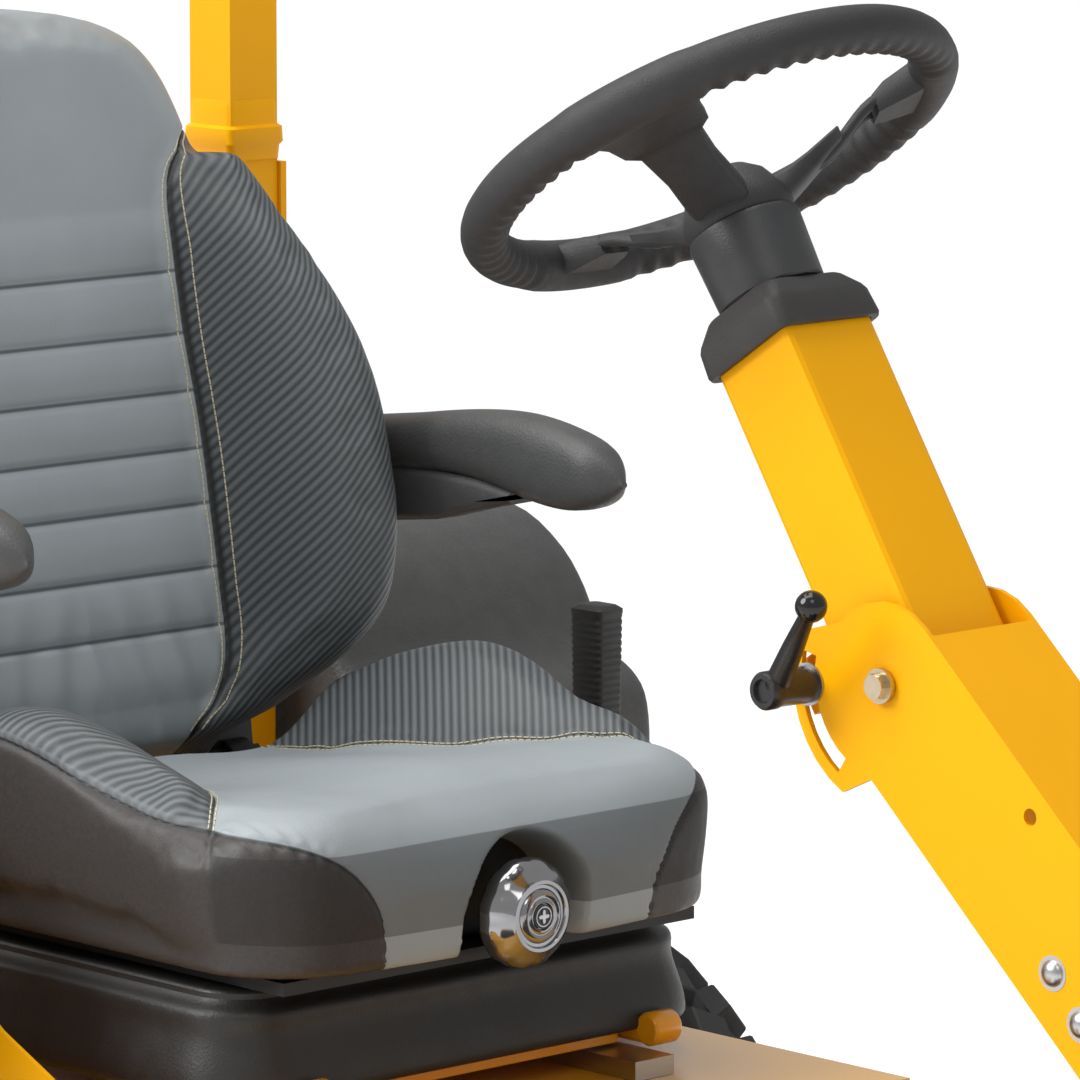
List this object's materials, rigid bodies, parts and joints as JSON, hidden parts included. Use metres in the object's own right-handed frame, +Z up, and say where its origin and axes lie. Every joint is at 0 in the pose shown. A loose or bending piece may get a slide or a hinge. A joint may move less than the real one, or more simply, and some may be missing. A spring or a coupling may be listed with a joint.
{
  "type": "ride-on mower",
  "caption": "Zero-turn ride-on mower with a tilting steering column, sprung bucket seat, folding roll bar and a mid-mounted mower deck.",
  "frame": {"origin": "on the ground under the middle of the machine", "axes": "+X forward, +Y to the operator's left, +Z up"},
  "size_m": [2, 1.524, 1.9],
  "materials": {
    "yellow_paint": "satin powder coat",
    "amber_paint": "gloss amber enamel",
    "black_paint": "satin black paint",
    "charcoal_plastic": "fine-grained moulded plastic",
    "knob_plastic": "gloss moulded plastic",
    "grey_plastic": "rotomoulded, pebbled",
    "tyre_rubber": "matt rubber",
    "bellows_rubber": "satin rubber",
    "seat_vinyl": "grained vinyl with ribbed bolsters",
    "zinc_steel": "yellow zinc plate",
    "bare_steel": "bright steel",
    "cast_metal": "cast, painted grey",
    "knob_chrome": "polished"
  },
  "bodies": {
    "chassis": {"main_frame": "yellow_paint", "seat_deck": "yellow_paint", "seat_box": "yellow_paint", "column_lower": "yellow_paint", "column_pedestal": "yellow_paint", "rops_post_left": "yellow_paint", "rops_post_right": "yellow_paint", "engine_guard": "yellow_paint", "floor_pan": "black_paint", "front_axle_beam": "black_paint", "control_console": "charcoal_plastic", "engine_cover": "charcoal_plastic", "fender_left": "grey_plastic", "fender_right": "grey_plastic", "tilt_pivot_bolt": "zinc_steel", "rops_pivot_bolt_left": "zinc_steel", "rops_pivot_bolt_right": "zinc_steel", "seat_rails": "bare_steel", "drive_unit_left": "cast_metal", "drive_unit_right": "cast_metal", "engine_block": "cast_metal", "muffler": "cast_metal"},
    "steering_tilt": {"column_upper": "yellow_paint", "column_collar": "charcoal_plastic"},
    "tilt_lever": {"tilt_lock_lever": "black_paint"},
    "steering": {"steering_wheel": "charcoal_plastic", "steering_boot": "charcoal_plastic", "steering_shaft": "bare_steel"},
    "seat_base": {"suspension_base": "amber_paint"},
    "seat": {"seat_pan": "black_paint", "seat_cushion": "seat_vinyl", "suspension_bellows": "bellows_rubber"},
    "backrest": {"backrest": "seat_vinyl"},
    "weight_knob": {"weight_knob": "knob_chrome"},
    "park_brake": {"park_brake_lever": "charcoal_plastic"},
    "forward_pedal": {"forward_pedal": "black_paint"},
    "reverse_pedal": {"reverse_pedal": "black_paint"},
    "pto_knob": {"pto_knob": "knob_plastic"},
    "throttle": {"throttle_lever": "black_paint"},
    "key": {"ignition_key": "charcoal_plastic"},
    "fuel_cap": {"fuel_cap": "charcoal_plastic"},
    "roll_bar": {"rops_hoop": "yellow_paint"},
    "deck": {"deck_shell": "yellow_paint", "deck_belt": "bellows_rubber"},
    "chute": {"discharge_chute": "charcoal_plastic"},
    "knuckle_left": {"front_knuckle_left": "yellow_paint"},
    "front_wheel_left": {"front_rim_left": "black_paint", "front_tyre_left": "tyre_rubber"},
    "rear_wheel_left": {"rear_rim_left": "black_paint", "rear_tyre_left": "tyre_rubber"},
    "armrest_left": {"armrest_left": "charcoal_plastic"},
    "knuckle_right": {"front_knuckle_right": "yellow_paint"},
    "front_wheel_right": {"front_rim_right": "black_paint", "front_tyre_right": "tyre_rubber"},
    "rear_wheel_right": {"rear_rim_right": "black_paint", "rear_tyre_right": "tyre_rubber"},
    "armrest_right": {"armrest_right": "charcoal_plastic"},
    "blade_left": {"blade_left": "bare_steel"},
    "blade_centre": {"blade_centre": "bare_steel"},
    "blade_right": {"blade_right": "bare_steel"}
  },
  "joints": [
    {"name": "column_tilt", "type": "hinge", "parent": "chassis", "child": "steering_tilt", "pos_m": [0.403, 0, 0.999], "axis": [0, -1, 0], "range_deg": [-12, 20]},
    {"name": "tilt_lock", "type": "hinge", "parent": "steering_tilt", "child": "tilt_lever", "pos_m": [0.33104, 0, 0.99102], "axis": [0, -1, 0], "range_deg": [0, 60]},
    {"name": "steering_turn", "type": "hinge", "parent": "steering_tilt", "child": "steering", "pos_m": [0.17834, 0, 1.34495], "axis": [-0.5446, 0, 0.8387], "range_deg": [-110, 110]},
    {"name": "steer_left", "type": "hinge", "parent": "chassis", "child": "knuckle_left", "pos_m": [0.72, 0.5, 0.412], "axis": [0, 0, 1], "range_deg": [-66, 66]},
    {"name": "front_spin_left", "type": "hinge", "parent": "knuckle_left", "child": "front_wheel_left", "pos_m": [0.72, 0.5, 0.18766], "axis": [0, 1, 0], "continuous": true},
    {"name": "rear_spin_left", "type": "hinge", "parent": "chassis", "child": "rear_wheel_left", "pos_m": [-0.65, 0.535, 0.30239], "axis": [0, 1, 0], "continuous": true},
    {"name": "steer_right", "type": "hinge", "parent": "chassis", "child": "knuckle_right", "pos_m": [0.72, -0.5, 0.412], "axis": [0, 0, 1], "range_deg": [-66, 66]},
    {"name": "front_spin_right", "type": "hinge", "parent": "knuckle_right", "child": "front_wheel_right", "pos_m": [0.72, -0.5, 0.18766], "axis": [0, 1, 0], "continuous": true},
    {"name": "rear_spin_right", "type": "hinge", "parent": "chassis", "child": "rear_wheel_right", "pos_m": [-0.65, -0.535, 0.30239], "axis": [0, 1, 0], "continuous": true},
    {"name": "seat_slide", "type": "slide", "parent": "chassis", "child": "seat_base", "axis": [1, 0, 0], "range_m": [-0.07, 0.06]},
    {"name": "seat_ride", "type": "slide", "parent": "seat_base", "child": "seat", "axis": [0, 0, 1], "range_m": [-0.035, 0.03], "stiffness_N_per_m": 12000, "springref_m": 0.02, "deforming": ["suspension_bellows"]},
    {"name": "backrest_recline", "type": "hinge", "parent": "seat", "child": "backrest", "pos_m": [-0.55, 0, 0.785], "axis": [0, -1, 0], "range_deg": [0, 12]},
    {"name": "armrest_left_lift", "type": "hinge", "parent": "backrest", "child": "armrest_left", "pos_m": [-0.53, 0.295, 1.03], "axis": [0, -1, 0], "range_deg": [0, 95]},
    {"name": "armrest_right_lift", "type": "hinge", "parent": "backrest", "child": "armrest_right", "pos_m": [-0.53, -0.295, 1.03], "axis": [0, -1, 0], "range_deg": [0, 95]},
    {"name": "weight_knob_turn", "type": "hinge", "parent": "seat", "child": "weight_knob", "pos_m": [-0.026, 0, 0.772], "axis": [1, 0, 0], "range_deg": [-180, 180]},
    {"name": "park_brake", "type": "hinge", "parent": "chassis", "child": "park_brake", "pos_m": [-0.29, 0.345, 0.6], "axis": [0, -1, 0], "range_deg": [0, 30]},
    {"name": "forward_pedal_press", "type": "hinge", "parent": "chassis", "child": "forward_pedal", "pos_m": [0.735, -0.215, 0.52677], "axis": [0, 1, 0], "range_deg": [0, 20], "stiffness_Nm_per_rad": 6, "springref_deg": -17.19},
    {"name": "reverse_pedal_press", "type": "hinge", "parent": "chassis", "child": "reverse_pedal", "pos_m": [0.735, -0.12, 0.52677], "axis": [0, 1, 0], "range_deg": [0, 20], "stiffness_Nm_per_rad": 3, "springref_deg": -17.19},
    {"name": "pto_pull", "type": "slide", "parent": "chassis", "child": "pto_knob", "axis": [0.3511, 0, 0.9363], "range_m": [0, 0.014]},
    {"name": "throttle_move", "type": "hinge", "parent": "chassis", "child": "throttle", "pos_m": [-0.33421, -0.46, 0.84691], "axis": [0, 1, 0], "range_deg": [-30, 30]},
    {"name": "key_turn", "type": "hinge", "parent": "chassis", "child": "key", "pos_m": [-0.30097, -0.52, 0.82163], "axis": [0.3511, 0, 0.9363], "range_deg": [-60, 30]},
    {"name": "fuel_cap_turn", "type": "hinge", "parent": "chassis", "child": "fuel_cap", "pos_m": [-0.86, 0.53, 0.9353], "axis": [0, 0, 1], "range_deg": [0, 180]},
    {"name": "roll_bar_fold", "type": "hinge", "parent": "chassis", "child": "roll_bar", "pos_m": [-0.737, 0, 1.215], "axis": [0, -1, 0], "range_deg": [0, 100]},
    {"name": "deck_lift", "type": "slide", "parent": "chassis", "child": "deck", "axis": [0, 0, 1], "range_m": [0, 0.06]},
    {"name": "blade_left_spin", "type": "hinge", "parent": "deck", "child": "blade_left", "pos_m": [0.03, 0.475, 0.245], "axis": [0, 0, 1], "continuous": true},
    {"name": "blade_centre_spin", "type": "hinge", "parent": "deck", "child": "blade_centre", "pos_m": [0.19, 0, 0.245], "axis": [0, 0, 1], "continuous": true},
    {"name": "blade_right_spin", "type": "hinge", "parent": "deck", "child": "blade_right", "pos_m": [0.03, -0.475, 0.245], "axis": [0, 0, 1], "continuous": true},
    {"name": "chute_drop", "type": "hinge", "parent": "deck", "child": "chute", "pos_m": [0.09, -0.75, 0.215], "axis": [1, 0, 0], "range_deg": [0, 100]}
  ],
  "couplings": [
    {"joint": "steer_left", "follows": "steering_turn", "ratio": 0.6},
    {"joint": "steer_right", "follows": "steering_turn", "ratio": 0.6},
    {"joint": "blade_left_spin", "follows": "blade_centre_spin", "ratio": 1},
    {"joint": "blade_right_spin", "follows": "blade_centre_spin", "ratio": 1}
  ]
}
